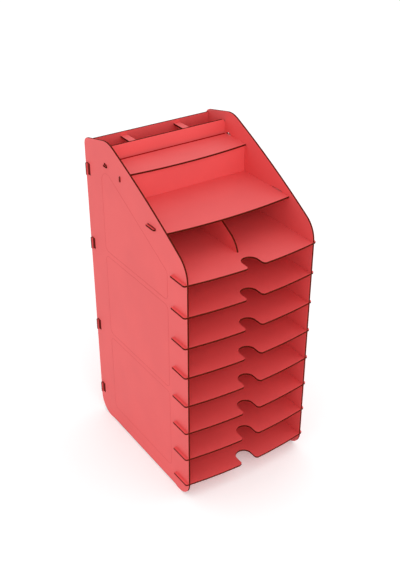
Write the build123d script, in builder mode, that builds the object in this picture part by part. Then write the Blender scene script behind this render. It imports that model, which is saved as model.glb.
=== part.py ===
from build123d import *
import os

# Desk document rack, cut from one thickness of board and held together by tabs in slots.
# Two side panels and a back carry eight push-in trays, an upper shelf, a step and a rear pocket.
# Millimetres: X across the rack, Y from its front to its back, Z up from the table.

# Board and fits
board = 3.0  # thickness of every piece
slot_play = 0.15  # room on each side of a tab in its slot
edge_play = 0.15  # room between a plate's edge and the panel beside it
glide = 0.3  # room over the divider, which slides out under the upper shelf

# Overall sizes
outer_width = 250.0  # over the outer faces of the side panels
panel_depth = 316.0  # front edge to rear edge of a side panel
shelf_height = 494.6  # table to the underside of the upper shelf
tray_count = 8
lowest_tray = 32.0  # table to the underside of the bottom tray

# Outline of the side panels
foot_radius = 33.0
foot_flat = 3.5  # length of the foot that meets the table
foot_ramp = 10.0
foot_height = 2.0
front_rise = 25.9  # top tray to the corner where the slope starts
front_radius = 46.0
slope_bulge = 5.5
peak_setback = 81.7  # rear edge to the peak
peak_rise = 18.4  # pocket wall to the corner at the peak
peak_radius = 48.0
rear_rise = 3.0  # back panel to the rear corner
rear_radius = 15.0

# Lines scored in the outer faces of the side panels
score_width = 1.0
score_depth = 0.15
score_radius = 10.0
score_peak_radius = 20.0
score_front = 56.0  # front edge to the front lines
score_rear = 55.0  # rear edge to the rear lines
score_cover = 59.2  # upper line to the straight line of the slope above it
score_gap = 9.0  # between one field and the next, about a tray's underside
score_trays = (5, 2)  # trays that part one field from the next

# Trays
front_bow = 9.7  # how far the front swells past the side panels
ear_length = 40.0
ear_proud = 5.2
ear_radius = 4.5
notch_width = 30.0
notch_depth = 32.7
mouth_radius = 6.0
rear_tab_width = 40.0
rear_tab_spread = 120.0
rear_tab_proud = 2.0

# Back panel
back_inset = 6.0  # rear edge of the side panels to the back's rear face
back_lift = 12.0  # table to the back's lower edge
back_rise = 74.1  # upper shelf to the back's upper edge
back_tab_height = 21.8
back_tab_proud = 4.2
back_tab_gap = 6.0  # open slot before a tab, which is pushed in and then shifted back
back_tab_rise = 25.7  # underside of the upper shelf to the middle of the tab above it
back_tab_lift = 23.5  # underside of the bottom tray to the middle of the tab above it
back_tab_drop = 1.5  # undersides of two trays to the middles of the tabs beside them
back_tab_trays = (2, 5)

# Upper shelf, riser and step
shelf_cover = 4.7  # upper shelf to the straight line of the slope above its front
shelf_bow = 8.0
shelf_tab_setback = 20.5
shelf_tab_length = 24.0
shelf_tab_proud = 3.9
shelf_tab_gap = 1.2  # open slot over the tab, which is pushed in and then lowered
shelf_tab_radius = 3.0
riser_height = 48.0
riser_setback = 3.0  # behind the ends of the step's front
riser_tab_height = 8.6
riser_tab_proud = 1.4
riser_tab_gap = 1.0  # open slot over the tab
step_depth = 63.0
step_bow = 7.7
step_gap = 4.2  # between the step and the pocket wall
step_tab_setback = 1.3  # rear edge of the step to the tab
step_tab_length = 10.5
step_tab_proud = 2.0
step_tab_gap = 3.2  # open slot over the tab
foot_tab_width = 30.0
foot_tab_spread = 120.0

# Rear pocket
pocket_depth = 49.5
wall_height = 76.7  # over the upper shelf
wall_radius = 8.0
bar_width = 12.5
bar_spread = 107.5
bar_drop = 8.8  # upper edge of the pocket wall to the top of the bars
bar_tab_width = 8.5

# Divider of the bay over the top tray
divider_setback = 39.4  # front edge of the side panels to the divider's front
divider_lip = 12.9  # top tray to the corner where the divider's front starts to slope
divider_tab_length = 30.0
divider_tab_spread = 120.0

# Places that follow from the sizes
half_width = outer_width / 2
plate_half = half_width - board - edge_play
panel_front = (front_bow - panel_depth) / 2
panel_rear = panel_front + panel_depth
open_front = panel_front - front_bow - board  # past the bowed fronts
back_rear = panel_rear - back_inset
back_front = back_rear - board
plate_rear = back_front - edge_play
wall_front = back_front - pocket_depth - board
wall_rear = wall_front + board
step_front = wall_front - step_depth
step_rear = wall_front - step_gap
riser_front = step_front + riser_setback
riser_rear = riser_front + board
tray_pitch = (shelf_height - lowest_tray) / tray_count


def underside(level):
    """Underside of a level: 0 is the upper shelf, 1 the top tray, tray_count the bottom tray."""
    return lowest_tray + (tray_count - level) * tray_pitch


def around(centre, size):
    """Both ends of a stretch of a given size about its centre."""
    return centre - size / 2, centre + size / 2


shelf_under = underside(0)
shelf_top = shelf_under + board
step_under = shelf_top + riser_height
step_top = step_under + board
wall_top = shelf_top + wall_height
back_top = shelf_top + back_rise
bar_under = wall_top - bar_drop - board
bay_floor = underside(1) + board
front_top = bay_floor + front_rise
peak_top = wall_top + peak_rise
rear_top = back_top + rear_rise
peak_y = panel_rear - peak_setback
slope = (peak_top - front_top) / (peak_y - panel_front)
shelf_front = panel_front + (shelf_top + shelf_cover - front_top) / slope
shelf_tab_front = shelf_front + shelf_tab_setback
shelf_tab_rear = shelf_tab_front + shelf_tab_length
step_tab_rear = step_rear - step_tab_setback
step_tab_front = step_tab_rear - step_tab_length
back_tab_centres = [shelf_under + back_tab_rise, underside(tray_count) + back_tab_lift]
back_tab_centres += [underside(number) - back_tab_drop for number in back_tab_trays]
divider_front = panel_front + divider_setback
divider_top = shelf_under - glide
divider_corner = bay_floor + divider_lip
divider_crest = divider_front + (divider_top - divider_corner) / slope
divider_base = divider_corner - front_radius  # low enough for the whole rounding
rear_tab_places = around(0, rear_tab_spread)
foot_tab_places = around(0, foot_tab_spread)
bar_places = around(0, bar_spread)
divider_tab_places = around((divider_front + plate_rear) / 2, divider_tab_spread)
divider_rear_tab = around((divider_top + bay_floor) / 2, back_tab_height)


def fill(left, right, low, high, mode=Mode.ADD):
    """Rectangle of the current sketch between two sides and two heights."""
    with Locations(((left + right) / 2, (low + high) / 2)):
        Rectangle(right - left, high - low, mode=mode)


def slot(left, right, low, high):
    """Slot of the current sketch, with its play, for a tab of this outline."""
    fill(left - slot_play, right + slot_play, low - slot_play, high + slot_play, Mode.SUBTRACT)


os.makedirs("parts", exist_ok=True)

# Side panels: the outline with its slots, then the scored lines
panel_corners = (
    ((panel_front, 0), foot_radius),
    ((panel_rear, 0), foot_radius),
    ((panel_rear, rear_top), rear_radius),
    ((peak_y, peak_top), peak_radius),
    ((panel_front, front_top), front_radius),
)
foot_end = foot_radius + foot_flat
ramp_end = foot_end + foot_ramp
score_sides = (panel_front + score_front, panel_rear - score_rear)
score_lows = [underside(number) + score_gap / 2 for number in (tray_count, *score_trays)]
score_highs = [underside(number) - score_gap / 2 for number in score_trays]
score_tops = [front_top + (side - panel_front) * slope - score_cover for side in score_sides]

for side, panel_name in ((-1, "left_side_panel"), (1, "right_side_panel")):
    outer_face = Plane.YZ.offset(side * half_width)
    with BuildPart() as side_panel:
        with BuildSketch(outer_face) as panel_outline:
            with BuildLine():
                Polyline(
                    (peak_y, peak_top),
                    (panel_rear, rear_top),
                    (panel_rear, 0),
                    (panel_rear - foot_end, 0),
                    (panel_rear - ramp_end, foot_height),
                    (panel_front + ramp_end, foot_height),
                    (panel_front + foot_end, 0),
                    (panel_front, 0),
                    (panel_front, front_top),
                )
                SagittaArc((panel_front, front_top), (peak_y, peak_top), slope_bulge)
            make_face()
            for corner, radius in panel_corners:
                fillet(panel_outline.vertices().sort_by_distance(corner)[0], radius)
            for number in range(1, tray_count + 1):
                slot(open_front, panel_front + ear_length, underside(number), underside(number) + board)
            for centre in back_tab_centres:
                slot(back_front - back_tab_gap, back_rear, *around(centre, back_tab_height))
            slot(shelf_tab_front, shelf_tab_rear, shelf_under, shelf_top + shelf_tab_gap)
            slot(riser_front, riser_rear, step_under - riser_tab_height, step_under + riser_tab_gap)
            slot(step_tab_front, step_tab_rear, step_under, step_top + step_tab_gap)
        extrude(amount=-side * board)
        with BuildSketch(outer_face) as scoring:
            for low, high in zip(score_lows, score_highs):
                fill(*score_sides, low, high)
            with BuildLine():
                Polyline(
                    (score_sides[0], score_lows[-1]),
                    (score_sides[1], score_lows[-1]),
                    (score_sides[1], score_tops[1]),
                    (score_sides[0], score_tops[0]),
                    close=True,
                )
            make_face()
            fillet(scoring.vertices().sort_by(Axis.Y)[:-1], score_radius)
            fillet(scoring.vertices().sort_by(Axis.Y)[-1], score_peak_radius)
            offset(amount=-score_width, mode=Mode.SUBTRACT)
        extrude(amount=-side * score_depth, mode=Mode.SUBTRACT)
    side_panel.part.label = panel_name
    export_step(side_panel.part, f"parts/{panel_name}.step")

# Back panel: tabs in the side panels, slots for everything that reaches it from the front
with BuildPart() as back_panel:
    with BuildSketch(Plane.XZ.offset(-back_front)):
        fill(-plate_half, plate_half, back_lift, back_top)
        back_tab_reach = half_width + back_tab_proud
        for centre in back_tab_centres:
            fill(-back_tab_reach, back_tab_reach, *around(centre, back_tab_height))
        for level in range(tray_count + 1):
            for place in rear_tab_places:
                slot(*around(place, rear_tab_width), underside(level), underside(level) + board)
        for place in bar_places:
            slot(*around(place, bar_tab_width), bar_under, bar_under + board)
        slot(*around(0, board), *divider_rear_tab)
    extrude(amount=-board)
back_panel.part.label = "back_panel"
export_step(back_panel.part, "parts/back_panel.step")

# Trays: bowed front with a finger notch, ears in the side panels, two tabs in the back
notch_centre = panel_front - front_bow + notch_depth - notch_width / 2
ear_reach = half_width + ear_proud

for number in range(1, tray_count + 1):
    with BuildPart() as tray:
        with BuildSketch(Plane.XY.offset(underside(number))) as tray_outline:
            with BuildLine():
                tray_bow = ThreePointArc(
                    (-half_width, panel_front), (0, panel_front - front_bow), (half_width, panel_front)
                )
                Line(tray_bow @ 1, tray_bow @ 0)
            make_face()
            fill(-plate_half, plate_half, panel_front, plate_rear)
            fill(-ear_reach, ear_reach, panel_front, panel_front + ear_length)
            for place in rear_tab_places:
                fill(*around(place, rear_tab_width), plate_rear, back_rear + rear_tab_proud)
            fill(*around(0, notch_width), open_front, notch_centre, Mode.SUBTRACT)
            with Locations((0, notch_centre)):
                Circle(notch_width / 2, mode=Mode.SUBTRACT)
            fillet(tray_outline.vertices().sort_by(Axis.Y)[:2], mouth_radius)
            for ear in (0, -1):
                fillet(tray_outline.vertices().group_by(Axis.X)[ear].sort_by(Axis.Y)[0], ear_radius)
            if number == 1:
                for place in divider_tab_places:
                    slot(*around(0, board), *around(place, divider_tab_length))
        extrude(amount=board)
    tray.part.label = f"tray_{number}"
    export_step(tray.part, f"parts/tray_{number}.step")

# Divider of the top bay: on the top tray, its front parallel to the side panels', one tab in the back
with BuildPart() as top_bay_divider:
    with BuildSketch(Plane.YZ.offset(-board / 2)) as divider_outline:
        with BuildLine():
            Polyline(
                (divider_front, divider_base),
                (divider_front, divider_corner),
                (divider_crest, divider_top),
                (plate_rear, divider_top),
                (plate_rear, divider_base),
                close=True,
            )
        make_face()
        front_corner = divider_outline.vertices().sort_by_distance((divider_front, divider_corner))[0]
        fillet(front_corner, front_radius)
        fill(divider_front, plate_rear, divider_base, bay_floor, Mode.SUBTRACT)
        for place in divider_tab_places:
            fill(*around(place, divider_tab_length), underside(1), bay_floor)
        fill(plate_rear, back_rear + rear_tab_proud, *divider_rear_tab)
    extrude(amount=board)
top_bay_divider.part.label = "top_bay_divider"
export_step(top_bay_divider.part, "parts/top_bay_divider.step")

# Upper shelf: bowed front, side tabs, and slots for the feet of the riser and the pocket wall
with BuildPart() as upper_shelf:
    with BuildSketch(Plane.XY.offset(shelf_under)) as shelf_outline:
        with BuildLine():
            shelf_edge = ThreePointArc(
                (-plate_half, shelf_front), (0, shelf_front - shelf_bow), (plate_half, shelf_front)
            )
            Polyline(shelf_edge @ 1, (plate_half, plate_rear), (-plate_half, plate_rear), shelf_edge @ 0)
        make_face()
        shelf_tab_reach = half_width + shelf_tab_proud
        fill(-shelf_tab_reach, shelf_tab_reach, shelf_tab_front, shelf_tab_rear)
        for tab in (0, -1):
            fillet(shelf_outline.vertices().group_by(Axis.X)[tab].sort_by(Axis.Y)[0], shelf_tab_radius)
        for place in rear_tab_places:
            fill(*around(place, rear_tab_width), plate_rear, back_rear + rear_tab_proud)
        for place in foot_tab_places:
            slot(*around(place, foot_tab_width), riser_front, riser_rear)
            slot(*around(place, foot_tab_width), wall_front, wall_rear)
    extrude(amount=board)
upper_shelf.part.label = "upper_shelf"
export_step(upper_shelf.part, "parts/upper_shelf.step")

# Riser: stands on the upper shelf under the front of the step
with BuildPart() as riser:
    with BuildSketch(Plane.XZ.offset(-riser_front)):
        fill(-plate_half, plate_half, shelf_top, step_under)
        riser_tab_reach = half_width + riser_tab_proud
        fill(-riser_tab_reach, riser_tab_reach, step_under - riser_tab_height, step_under)
        for place in foot_tab_places:
            fill(*around(place, foot_tab_width), shelf_under, shelf_top)
    extrude(amount=-board)
riser.part.label = "riser"
export_step(riser.part, "parts/riser.step")

# Step: a small bowed shelf on the riser, in front of the pocket wall
with BuildPart() as step_shelf:
    with BuildSketch(Plane.XY.offset(step_under)):
        with BuildLine():
            step_edge = ThreePointArc(
                (-plate_half, step_front), (0, step_front - step_bow), (plate_half, step_front)
            )
            Polyline(step_edge @ 1, (plate_half, step_rear), (-plate_half, step_rear), step_edge @ 0)
        make_face()
        step_tab_reach = half_width + step_tab_proud
        fill(-step_tab_reach, step_tab_reach, step_tab_front, step_tab_rear)
    extrude(amount=board)
step_shelf.part.label = "step_shelf"
export_step(step_shelf.part, "parts/step_shelf.step")

# Pocket wall: front of the rear pocket, standing on the upper shelf
with BuildPart() as pocket_wall:
    with BuildSketch(Plane.XZ.offset(-wall_front)) as wall_outline:
        fill(-plate_half, plate_half, shelf_top, wall_top)
        fillet(wall_outline.vertices().group_by(Axis.Y)[-1], wall_radius)
        for place in foot_tab_places:
            fill(*around(place, foot_tab_width), shelf_under, shelf_top)
    extrude(amount=-board)
pocket_wall.part.label = "pocket_wall"
export_step(pocket_wall.part, "parts/pocket_wall.step")

# Pocket bars: flat bars from the pocket wall to the back, which part the pocket into cells
for bar_name, place in zip(("pocket_bar_left", "pocket_bar_right"), bar_places):
    with BuildPart() as pocket_bar:
        with BuildSketch(Plane.XY.offset(bar_under)):
            fill(*around(place, bar_width), wall_rear, plate_rear)
            fill(*around(place, bar_tab_width), plate_rear, back_rear + rear_tab_proud)
        extrude(amount=board)
    pocket_bar.part.label = bar_name
    export_step(pocket_bar.part, f"parts/{bar_name}.step")
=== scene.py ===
import math

import bmesh
import bpy
from bpy.props import FloatProperty, FloatVectorProperty, PointerProperty
from bpy.types import Operator, Panel, PropertyGroup
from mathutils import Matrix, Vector


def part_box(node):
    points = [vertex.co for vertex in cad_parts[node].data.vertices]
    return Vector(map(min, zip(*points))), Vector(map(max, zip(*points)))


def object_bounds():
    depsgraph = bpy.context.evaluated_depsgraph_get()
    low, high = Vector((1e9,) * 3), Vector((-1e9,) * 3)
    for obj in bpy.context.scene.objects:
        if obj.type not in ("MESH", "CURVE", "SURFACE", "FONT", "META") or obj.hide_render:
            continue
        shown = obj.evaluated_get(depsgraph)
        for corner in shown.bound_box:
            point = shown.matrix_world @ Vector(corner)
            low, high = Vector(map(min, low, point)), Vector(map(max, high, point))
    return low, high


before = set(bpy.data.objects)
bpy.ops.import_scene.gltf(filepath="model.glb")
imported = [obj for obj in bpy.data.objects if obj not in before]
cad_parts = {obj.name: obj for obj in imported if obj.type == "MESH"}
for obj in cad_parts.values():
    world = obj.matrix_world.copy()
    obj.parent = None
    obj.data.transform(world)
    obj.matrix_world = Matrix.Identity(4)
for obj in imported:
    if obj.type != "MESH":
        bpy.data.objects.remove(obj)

bl_info = {
    "name": "Document rack",
    "version": (1, 0, 0),
    "blender": (4, 5, 0),
    "location": "View3D > Sidebar > Document rack",
    "description": "Lacquered boards with burnt cut edges for a tab-and-slot document rack, and its studio",
    "category": "Object",
}

CAD_LOW, CAD_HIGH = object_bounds()
CENTRE = (CAD_LOW + CAD_HIGH) / 2

# Boards that share a finish
SIDE_PANELS = ("left_side_panel", "right_side_panel")
TRAYS = tuple(sorted(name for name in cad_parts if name.startswith("tray_")))
SHELVES = ("upper_shelf", "step_shelf")
POCKET_BARS = ("pocket_bar_left", "pocket_bar_right")

# Distances of a side panel's two faces from the rack's middle plane, and the height of the step
PANEL_INNER, PANEL_OUTER = (corner.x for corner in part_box("right_side_panel"))
PANEL_MIDDLE = (PANEL_INNER + PANEL_OUTER) / 2
STEP_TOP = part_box("step_shelf")[1].z

# A surface is a board's face when its normal has more than this along the thickness axis
FACE_LIMIT = 0.5

# Part of a noise's values that is spread over a whole blend
NOISE_SPAN = (0.3, 0.7)
DRIFT_SPAN = (0.35, 0.65)
TONE_SPAN = (0.2, 1.0)

# Shares of the slow drift and of the fibres in the lacquer's tone
DRIFT_SHARE = 0.7
FIBRE_SHARE = 0.6

# Detail and roughness of the noises
SOFT_DETAIL = 2.0
FIBRE_DETAIL = 4.0
PEEL_DETAIL = 1.5
GRAIN_ROUGHNESS = 0.55
PEEL_ROUGHNESS = 0.4

# Part of the painted shade's fade past a slot that is still as dark as inside the slot
FULL_SHADE = 0.4

# Optics of the board and of the clear coat on its faces
BOARD_IOR = 1.5
BOARD_SPECULAR = 0.02
COAT_IOR = 1.6

WHITE = (1.0, 1.0, 1.0, 1.0)


class RackFinish(PropertyGroup):
    """Colours and grain of the lacquered board."""

    lacquer: FloatVectorProperty(
        name="Lacquer", description="Red of the lacquered faces", subtype="COLOR",
        default=(0.77, 0.08, 0.08),
    )
    lacquer_shade: FloatVectorProperty(
        name="Lacquer shade", description="Deeper red that drifts through the lacquer", subtype="COLOR",
        default=(0.73, 0.073, 0.074),
    )
    # Painted shade: deep red for the pocket wall where the gap behind the step shades it
    gap_painted_shade: FloatVectorProperty(
        name="Gap red", description="Red of the pocket wall down in the gap behind the step",
        subtype="COLOR", default=(0.5, 0.003, 0.003),
    )
    scored: FloatVectorProperty(
        name="Scored line", description="Red of the lines scored in the side panels", subtype="COLOR",
        default=(0.65, 0.047, 0.047),
    )
    film: FloatProperty(
        name="Lacquer film", description="Thickness of the lacquer, which the scored lines don't cut through",
        unit="LENGTH", default=0.00016,
    )
    char: FloatVectorProperty(
        name="Burnt edge", description="Brown of the edges that the laser cut", subtype="COLOR",
        default=(0.1, 0.01, 0.003),
    )
    char_dark: FloatVectorProperty(
        name="Soot", description="Darkest streaks on the cut edges", subtype="COLOR",
        default=(0.055, 0.006, 0.0015),
    )
    char_roughness: FloatVectorProperty(
        name="Edge roughness", description="Roughness of the cut edges, in pale and in dark streaks", size=2,
        default=(0.62, 0.85),
    )
    # Painted shade: how dark a tab is painted where its slot's gap shades it, in the burnt edge's brown
    slot_shade: FloatProperty(
        name="Slot soot", description="How much soot from a burnt slot covers its tab", subtype="FACTOR",
        min=0.0, max=1.0, default=0.82,
    )
    # Painted shade: how far the painted slot shade fades out along the tab past the panel
    shade_fade: FloatProperty(
        name="Soot smear", description="How far the soot is smeared out along the tab past its slot",
        unit="LENGTH", default=0.0022,
    )
    gloss: FloatProperty(
        name="Lacquer roughness", description="Roughness of the satin lacquer", subtype="FACTOR",
        min=0.0, max=1.0, default=0.62,
    )
    gloss_spread: FloatProperty(
        name="Roughness spread", description="How far the lacquer's roughness strays to either side",
        subtype="FACTOR", min=0.0, max=1.0, default=0.05,
    )
    drift: FloatProperty(
        name="Tone drift", description="Size of the clouds of tone in the lacquer", unit="LENGTH",
        default=0.09,
    )
    peel: FloatProperty(
        name="Orange peel", description="Size of the ripples in the sprayed lacquer", unit="LENGTH",
        default=0.0028,
    )
    fibre: FloatProperty(
        name="Fibre", description="Size of the board's fibres that show through the lacquer", unit="LENGTH",
        default=0.0007,
    )
    streak: FloatProperty(
        name="Cut streak", description="Spacing of the streaks on a cut edge", unit="LENGTH",
        default=0.0006,
    )
    streak_squeeze: FloatProperty(
        name="Streak squeeze", description="Scale of the streaks' noise across the edge: small means long",
        subtype="FACTOR", min=0.0, max=1.0, default=0.08,
    )
    relief: FloatProperty(
        name="Relief", description="Depth of the ripples and streaks", unit="LENGTH", default=0.00006,
    )
    relief_strength: FloatProperty(
        name="Relief strength", description="How much the relief bends the light", subtype="FACTOR",
        min=0.0, max=1.0, default=0.25,
    )


class RackStudio(PropertyGroup):
    """Floor, light and camera of the picture."""

    floor: FloatVectorProperty(
        name="Floor", description="Pale floor", subtype="COLOR", default=(0.9, 0.9, 0.9),
    )
    floor_lift: FloatProperty(
        name="Floor lift", description="White added to the floor where the camera sees it", default=0.175,
    )
    floor_reach: FloatProperty(
        name="Floor reach", description="Distance from the floor's middle to its sides", unit="LENGTH",
        default=15.0,
    )
    ambient: FloatProperty(
        name="Ambient light", description="Strength of the white room round the rack", default=1.0,
    )
    key_power: FloatProperty(
        name="Key light", description="Soft light from the front, a little left", unit="POWER", default=18.0,
    )
    key_size: FloatProperty(
        name="Key size", description="Width of the key light", unit="LENGTH", default=1.6,
    )
    key_place: FloatVectorProperty(
        name="Key place", description="Where the key light stands, from the rack's middle",
        subtype="TRANSLATION", unit="LENGTH", default=(-0.7, -2.1, 1.05),
    )
    eye: FloatVectorProperty(
        name="Camera place", description="Where the camera stands", subtype="TRANSLATION", unit="LENGTH",
        default=(-0.7602, -1.14325, 1.1407),
    )
    yaw: FloatProperty(
        name="Camera turn", description="Turn of the camera to the right of straight ahead", subtype="ANGLE",
        default=math.radians(33.77),
    )
    pitch: FloatProperty(
        name="Camera dip", description="Tilt of the camera below the horizon", subtype="ANGLE",
        default=math.radians(31.78),
    )
    lens: FloatProperty(
        name="Lens", description="Focal length of the camera", unit="CAMERA", default=57.09,
    )
    sensor: FloatProperty(
        name="Sensor", description="Length of the sensor's longer side", unit="CAMERA", default=36.0,
    )
    shift: FloatVectorProperty(
        name="Lens shift", description="Offset of the picture from the lens axis", size=2,
        default=(-0.0028, 0.0284),
    )


class NodeTree:
    """Short calls that add and link the nodes of one material or world."""

    def __init__(self, owner):
        owner.use_nodes = True
        self.tree = owner.node_tree
        self.tree.nodes.clear()

    def node(self, kind, settings=None, **inputs):
        """A node with its settings, and its input sockets set to values or linked to other sockets.

        An input goes by the name of its socket, with _ for a space, or by its number: i0, i1 and so on.
        """
        made = self.tree.nodes.new(kind)
        for key, value in (settings or {}).items():
            setattr(made, key, value)
        for key, value in inputs.items():
            number = key[1:]
            socket = made.inputs[int(number) if number.isdigit() else key.replace("_", " ")]
            if isinstance(value, bpy.types.NodeSocket):
                self.tree.links.new(value, socket)
            else:
                socket.default_value = value
        return made

    def math(self, operation, *values):
        """The result of one sum on one or two values."""
        inputs = {f"i{number}": value for number, value in enumerate(values)}
        return self.node("ShaderNodeMath", {"operation": operation}, **inputs).outputs["Value"]

    def part(self, vector, axis):
        """The part of a vector that lies along one axis."""
        return self.node("ShaderNodeSeparateXYZ", Vector=vector).outputs[axis]

    def noise(self, vector, size, detail, roughness=GRAIN_ROUGHNESS):
        """Noise whose grains are about as wide as the size, in metres."""
        made = self.node(
            "ShaderNodeTexNoise", Vector=vector, Scale=1.0 / size, Detail=detail, Roughness=roughness
        )
        return made.outputs["Fac"]

    def ramp(self, value, span, result=(0.0, 1.0)):
        """The value, with one span of it spread over the result's span and held at its ends."""
        made = self.node(
            "ShaderNodeMapRange", Value=value, From_Min=span[0], From_Max=span[1], To_Min=result[0],
            To_Max=result[1],
        )
        return made.outputs["Result"]

    def mix(self, factor, first, second):
        """One number turning into another."""
        made = self.node("ShaderNodeMix", {"data_type": "FLOAT"}, Factor=factor, i2=first, i3=second)
        return made.outputs[0]

    def blend(self, factor, first, second):
        """One colour turning into another."""
        made = self.node("ShaderNodeMix", {"data_type": "RGBA"}, Factor=factor, i6=first, i7=second)
        return made.outputs[2]


def opaque(colour):
    """A colour with its alpha."""
    return (*colour, 1.0)


def side_reach(nodes, where):
    """Distance to either side of the rack's middle plane."""
    return nodes.math("ABSOLUTE", nodes.part(where, "X"))


def slot_painted_shade(nodes, where, start, look):
    """Painted shade on a tab where its slot's gap shades it, from a place in the side panel's thickness to a
    fade past the panel's outer face.
    """
    reach = side_reach(nodes, where)
    in_slot = nodes.math("GREATER_THAN", reach, start)
    fade = nodes.ramp(reach, (PANEL_OUTER + look.shade_fade, PANEL_OUTER + look.shade_fade * FULL_SHADE))
    return nodes.math("MULTIPLY", in_slot, nodes.math("MULTIPLY", fade, look.slot_shade))


def lacquer_red(nodes, where, look):
    """Red of the lacquer, with a slow drift of tone and the board's fibres in it."""
    drift = nodes.ramp(nodes.noise(where, look.drift, SOFT_DETAIL), DRIFT_SPAN)
    fibres = nodes.noise(where, look.fibre, FIBRE_DETAIL)
    drift_part = nodes.math("MULTIPLY", drift, DRIFT_SHARE)
    fibre_part = nodes.math("MULTIPLY", fibres, FIBRE_SHARE)
    tone = nodes.ramp(nodes.math("ADD", drift_part, fibre_part), TONE_SPAN)
    return nodes.blend(tone, opaque(look.lacquer), opaque(look.lacquer_shade))


def scored_lines(nodes, reach, look):
    """1 on a side panel's scored lines, which lie between its two faces."""
    below_outer = nodes.math("LESS_THAN", reach, PANEL_OUTER - look.film / 2)
    above_inner = nodes.math("GREATER_THAN", reach, PANEL_INNER + look.film / 2)
    return nodes.math("MULTIPLY", below_outer, above_inner)


def cut_streaks(nodes, where, axis, look):
    """Streaks that run across a cut edge, along the board's thickness."""
    squeeze = [1.0, 1.0, 1.0]
    squeeze["XYZ".index(axis)] = look.streak_squeeze
    run = nodes.node("ShaderNodeMapping", Vector=where, Scale=squeeze).outputs["Vector"]
    return nodes.noise(run, look.streak, SOFT_DETAIL)


def lacquered_board(name, axis, shade_start=None, painted_shade_top=None, scored=False):
    """Board whose thickness runs along one axis: satin lacquer on its faces, burnt brown on its cut edges.

    A board with tabs in the side panels gets painted shade on its tabs from the given start outwards, where
    the slots' gaps shade them: burnt brown and matt.
    A board that stands behind another has painted shade, deep red and matt, up to the given top. A side panel
    has scored lines.
    """
    look = bpy.context.scene.rack_finish
    material = bpy.data.materials.new(name)
    nodes = NodeTree(material)
    place = nodes.node("ShaderNodeTexCoord")
    where = place.outputs["Object"]
    facing = nodes.math("ABSOLUTE", nodes.part(place.outputs["Normal"], axis))
    on_face = nodes.math("GREATER_THAN", facing, FACE_LIMIT)
    lacquer = lacquer_red(nodes, where, look)
    # Painted shade of the slots' gaps on the tabs: burnt brown, matt and without coat there
    if shade_start is not None:
        unshaded = nodes.math("SUBTRACT", 1.0, slot_painted_shade(nodes, where, shade_start, look))
        on_face = nodes.math("MULTIPLY", on_face, unshaded)
    if scored:
        reach = side_reach(nodes, where)
        in_film = nodes.math("GREATER_THAN", reach, PANEL_OUTER - look.film)
        on_face = nodes.math("MAXIMUM", on_face, in_film)
        lacquer = nodes.blend(scored_lines(nodes, reach, look), lacquer, opaque(look.scored))
    coat = on_face
    # Painted shade of the gap behind the step: deep red, matt and without coat below the given top
    if painted_shade_top is not None:
        above = nodes.math("GREATER_THAN", nodes.part(where, "Z"), painted_shade_top)
        lacquer = nodes.blend(above, opaque(look.gap_painted_shade), lacquer)
        coat = nodes.math("MULTIPLY", on_face, above)

    streaks = cut_streaks(nodes, where, axis, look)
    dark = nodes.ramp(streaks, NOISE_SPAN)
    char = nodes.blend(dark, opaque(look.char), opaque(look.char_dark))
    matt = nodes.ramp(streaks, NOISE_SPAN, look.char_roughness)
    peel = nodes.noise(where, look.peel, PEEL_DETAIL, PEEL_ROUGHNESS)
    satin = nodes.ramp(peel, NOISE_SPAN, (look.gloss - look.gloss_spread, look.gloss + look.gloss_spread))
    bump = nodes.node(
        "ShaderNodeBump", Strength=look.relief_strength, Distance=look.relief,
        Height=nodes.mix(on_face, streaks, peel),
    ).outputs["Normal"]
    shader = nodes.node(
        "ShaderNodeBsdfPrincipled", Base_Color=nodes.blend(on_face, char, lacquer),
        Roughness=nodes.mix(on_face, matt, satin), Normal=bump, IOR=BOARD_IOR,
        Specular_IOR_Level=BOARD_SPECULAR, Coat_Weight=coat, Coat_Roughness=look.gloss, Coat_IOR=COAT_IOR,
        Coat_Normal=bump,
    )
    nodes.node("ShaderNodeOutputMaterial", Surface=shader.outputs["BSDF"])
    return material


def dress(names, material):
    """Give the boards of these names one material."""
    for name in names:
        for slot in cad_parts[name].material_slots:
            slot.material = material


class RACK_OT_side_panels(Operator):
    """Finish the two side panels"""

    bl_idname = "rack.side_panels"
    bl_label = "Side panels"

    def execute(self, context):
        dress(SIDE_PANELS, lacquered_board("side_panel_board", "X", scored=True))
        return {"FINISHED"}


class RACK_OT_back_panel(Operator):
    """Finish the back panel"""

    bl_idname = "rack.back_panel"
    bl_label = "Back panel"

    def execute(self, context):
        # The back panel's tabs get painted shade from the side panels' inner face outwards
        dress(["back_panel"], lacquered_board("back_panel_board", "Y", shade_start=PANEL_INNER))
        return {"FINISHED"}


class RACK_OT_trays(Operator):
    """Finish the push-in trays and the divider that stands on the top one"""

    bl_idname = "rack.trays"
    bl_label = "Trays"

    def execute(self, context):
        dress(TRAYS, lacquered_board("tray_board", "Z"))
        dress(["top_bay_divider"], lacquered_board("divider_board", "X"))
        return {"FINISHED"}


class RACK_OT_upper_shelf(Operator):
    """Finish the upper shelf, the riser and the step"""

    bl_idname = "rack.upper_shelf"
    bl_label = "Upper shelf and step"

    def execute(self, context):
        # The tabs of the shelves and the riser get painted shade from the middle of the side panels outwards
        dress(SHELVES, lacquered_board("shelf_board", "Z", shade_start=PANEL_MIDDLE))
        dress(["riser"], lacquered_board("riser_board", "Y", shade_start=PANEL_MIDDLE))
        return {"FINISHED"}


class RACK_OT_rear_pocket(Operator):
    """Finish the pocket wall and its bars"""

    bl_idname = "rack.rear_pocket"
    bl_label = "Rear pocket"

    def execute(self, context):
        # The pocket wall gets painted shade below the step's top
        dress(["pocket_wall"], lacquered_board("pocket_wall_board", "Y", painted_shade_top=STEP_TOP))
        dress(POCKET_BARS, lacquered_board("pocket_bar_board", "Z"))
        return {"FINISHED"}


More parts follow.
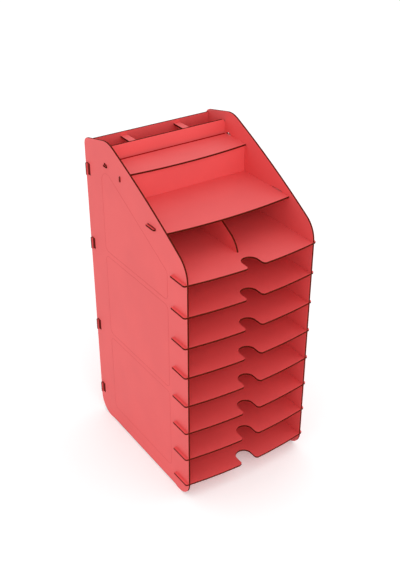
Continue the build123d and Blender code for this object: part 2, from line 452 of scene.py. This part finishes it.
def seen_directly(nodes):
    """1 where a camera, glossy or transmission ray looks at the shader."""
    path = nodes.node("ShaderNodeLightPath")
    seen = nodes.math("MAXIMUM", path.outputs["Is Camera Ray"], path.outputs["Is Glossy Ray"])
    return nodes.math("MAXIMUM", seen, path.outputs["Is Transmission Ray"])


def pale_floor(studio):
    """Large plain floor that keeps the rack's soft shadow."""
    material = bpy.data.materials.new("pale_floor")
    nodes = NodeTree(material)
    matt = nodes.node("ShaderNodeBsdfDiffuse", Color=opaque(studio.floor))
    lift = nodes.math("MULTIPLY", seen_directly(nodes), studio.floor_lift)
    glow = nodes.node("ShaderNodeEmission", Strength=lift)
    both = nodes.node("ShaderNodeAddShader", i0=matt.outputs["BSDF"], i1=glow.outputs["Emission"])
    nodes.node("ShaderNodeOutputMaterial", Surface=both.outputs["Shader"])

    mesh = bpy.data.meshes.new("floor")
    shape = bmesh.new()
    bmesh.ops.create_grid(shape, x_segments=1, y_segments=1, size=studio.floor_reach)
    shape.to_mesh(mesh)
    shape.free()
    mesh.materials.append(material)
    floor = bpy.data.objects.new("floor", mesh)
    bpy.context.scene.collection.objects.link(floor)


def white_room(studio):
    """World that lights the rack softly and is plain white where it is seen."""
    world = bpy.data.worlds.new("white_room")
    bpy.context.scene.world = world
    nodes = NodeTree(world)
    strength = nodes.ramp(seen_directly(nodes), (0.0, 1.0), (studio.ambient, 1.0))
    room = nodes.node("ShaderNodeBackground", Color=WHITE, Strength=strength)
    nodes.node("ShaderNodeOutputWorld", Surface=room.outputs["Background"])


def key_light(studio):
    """Soft square light that looks at the rack's middle."""
    light = bpy.data.lights.new("key_light", "AREA")
    light.shape = "SQUARE"
    light.size = studio.key_size
    light.energy = studio.key_power
    lamp = bpy.data.objects.new("key_light", light)
    offset = Vector(studio.key_place)
    lamp.location = CENTRE + offset
    lamp.rotation_euler = (-offset).to_track_quat("-Z", "Y").to_euler()
    bpy.context.scene.collection.objects.link(lamp)


def photo_camera(studio):
    """Camera at the photograph's angle."""
    data = bpy.data.cameras.new("photo_camera")
    data.sensor_width = studio.sensor
    data.sensor_fit = "AUTO"
    data.lens = studio.lens
    data.shift_x, data.shift_y = studio.shift
    camera = bpy.data.objects.new("photo_camera", data)
    camera.location = studio.eye
    camera.rotation_euler = (math.pi / 2 - studio.pitch, 0.0, -studio.yaw)
    bpy.context.scene.collection.objects.link(camera)
    bpy.context.scene.camera = camera


class RACK_OT_studio(Operator):
    """Set the floor, the soft light and the camera"""

    bl_idname = "rack.studio"
    bl_label = "Studio"

    def execute(self, context):
        studio = context.scene.rack_studio
        context.scene.view_settings.view_transform = "Standard"
        pale_floor(studio)
        white_room(studio)
        key_light(studio)
        photo_camera(studio)
        return {"FINISHED"}


OPERATORS = (
    RACK_OT_side_panels,
    RACK_OT_back_panel,
    RACK_OT_trays,
    RACK_OT_upper_shelf,
    RACK_OT_rear_pocket,
    RACK_OT_studio,
)


class RACK_PT_sidebar(Panel):
    """Finish, studio and steps of the document rack"""

    bl_idname = "RACK_PT_sidebar"
    bl_label = "Document rack"
    bl_space_type = "VIEW_3D"
    bl_region_type = "UI"
    bl_category = "Document rack"

    def draw(self, context):
        for group in (context.scene.rack_finish, context.scene.rack_studio):
            box = self.layout.box()
            for name in group.__annotations__:
                box.prop(group, name)
        for operator in OPERATORS:
            self.layout.operator(operator.bl_idname)


CLASSES = (RackFinish, RackStudio, *OPERATORS, RACK_PT_sidebar)


def register():
    for each in CLASSES:
        bpy.utils.register_class(each)
    bpy.types.Scene.rack_finish = PointerProperty(type=RackFinish)
    bpy.types.Scene.rack_studio = PointerProperty(type=RackStudio)


def unregister():
    del bpy.types.Scene.rack_studio
    del bpy.types.Scene.rack_finish
    for each in reversed(CLASSES):
        bpy.utils.unregister_class(each)


def main():
    register()
    bpy.ops.rack.side_panels()
    bpy.ops.rack.back_panel()
    bpy.ops.rack.trays()
    bpy.ops.rack.upper_shelf()
    bpy.ops.rack.rear_pocket()
    bpy.ops.rack.studio()


if __name__ == "__main__":
    main()
